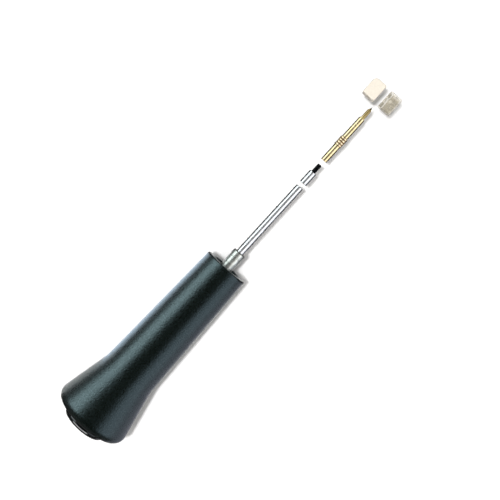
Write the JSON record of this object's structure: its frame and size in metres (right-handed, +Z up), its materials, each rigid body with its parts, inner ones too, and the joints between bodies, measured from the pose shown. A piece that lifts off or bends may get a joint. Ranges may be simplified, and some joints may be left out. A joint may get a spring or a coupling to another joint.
{
  "type": "hand-held security tag detacher",
  "caption": "Hand-held tag detacher: flared black grip with palm button, steel shaft, adapter, brass bit and split working head, laid out in line.",
  "frame": {"origin": "on the tool axis, 55 mm behind the mouth of the grip, about the middle of the grip", "axes": "+X along the tool axis from the palm button to the working end, +Y to the side of the ivory head half, +Z up"},
  "size_m": [0.2467, 0.0436, 0.0436],
  "materials": {
    "black_grip": "fine moulded grain, satin",
    "black_gloss": "glossy",
    "black_acetal": "smooth, matt",
    "bronze": "sintered, matt",
    "spring_steel": "drawn wire",
    "nickel_steel": "nickel plated, fine turning marks",
    "polished_steel": "polished",
    "zinc_steel": "zinc plated",
    "ground_steel": "ground",
    "black_oxide": "black oxide",
    "magnet_plate": "nickel plated",
    "brass": "polished",
    "brass_collar": "satin",
    "dark_steel": "tempered dark",
    "ivory_plastic": "smooth, matt",
    "grey_clear_plastic": "cloudy, see-through",
    "white_plastic": "smooth",
    "olive_plastic": "smooth"
  },
  "bodies": {
    "handle": {"handle_grip": "black_grip", "button_bezel": "black_gloss", "plunger_guide": "bronze", "nose_bush": "black_acetal", "bush_circlip": "spring_steel", "ferrule": "nickel_steel", "shaft": "polished_steel", "shaft_nut": "zinc_steel", "shaft_washer": "zinc_steel", "return_spring": "spring_steel"},
    "button": {"button_cap": "black_gloss", "plunger": "ground_steel", "rod_screw": "black_oxide", "push_rod": "ground_steel", "stop_clip": "spring_steel"},
    "adapter": {"adapter_sleeve": "polished_steel", "adapter_magnet": "magnet_plate", "adapter_stud": "black_oxide"},
    "transfer_pin": {"transfer_pin": "ground_steel"},
    "bit": {"bit_socket": "brass", "bit_collar": "brass_collar", "bit_barrel": "brass", "bit_nose": "brass", "bit_spring": "spring_steel"},
    "release_pin": {"release_pin": "dark_steel"},
    "head_ivory": {"head_ivory": "ivory_plastic", "head_ivory_magnets": "magnet_plate"},
    "head_grey": {"head_grey_case": "grey_clear_plastic", "head_grey_magnets": "magnet_plate", "head_grey_cover": "grey_clear_plastic", "head_grey_post": "white_plastic", "head_grey_comb": "olive_plastic"}
  },
  "joints": [
    {"name": "button_press", "type": "slide", "parent": "handle", "child": "button", "axis": [1, 0, 0], "range_m": [0, 0.0035], "stiffness_N_per_m": 1100, "springref_m": -0.004, "deforming": ["return_spring"]},
    {"name": "adapter_seat", "type": "slide", "parent": "handle", "child": "adapter", "axis": [-1, 0, 0], "range_m": [0, 0.0024]},
    {"name": "transfer_slide", "type": "slide", "parent": "adapter", "child": "transfer_pin", "axis": [1, 0, 0], "range_m": [0, 0.0035]},
    {"name": "bit_seat", "type": "slide", "parent": "adapter", "child": "bit", "axis": [-1, 0, 0], "range_m": [0, 0.0085]},
    {"name": "release_slide", "type": "slide", "parent": "bit", "child": "release_pin", "axis": [1, 0, 0], "range_m": [0, 0.0035], "stiffness_N_per_m": 60, "springref_m": -0.002, "deforming": ["bit_spring"]},
    {"name": "head_close", "type": "slide", "parent": "bit", "child": "head_ivory", "axis": [-0.9859, -0.1676, 0], "range_m": [0, 0.01014]},
    {"name": "head_close_grey", "type": "slide", "parent": "bit", "child": "head_grey", "axis": [-0.9859, 0.1676, 0], "range_m": [0, 0.01014]}
  ],
  "couplings": [
    {"joint": "transfer_slide", "follows": "button_press", "ratio": 1},
    {"joint": "release_slide", "follows": "button_press", "ratio": 1},
    {"joint": "head_close_grey", "follows": "head_close", "ratio": 1}
  ]
}
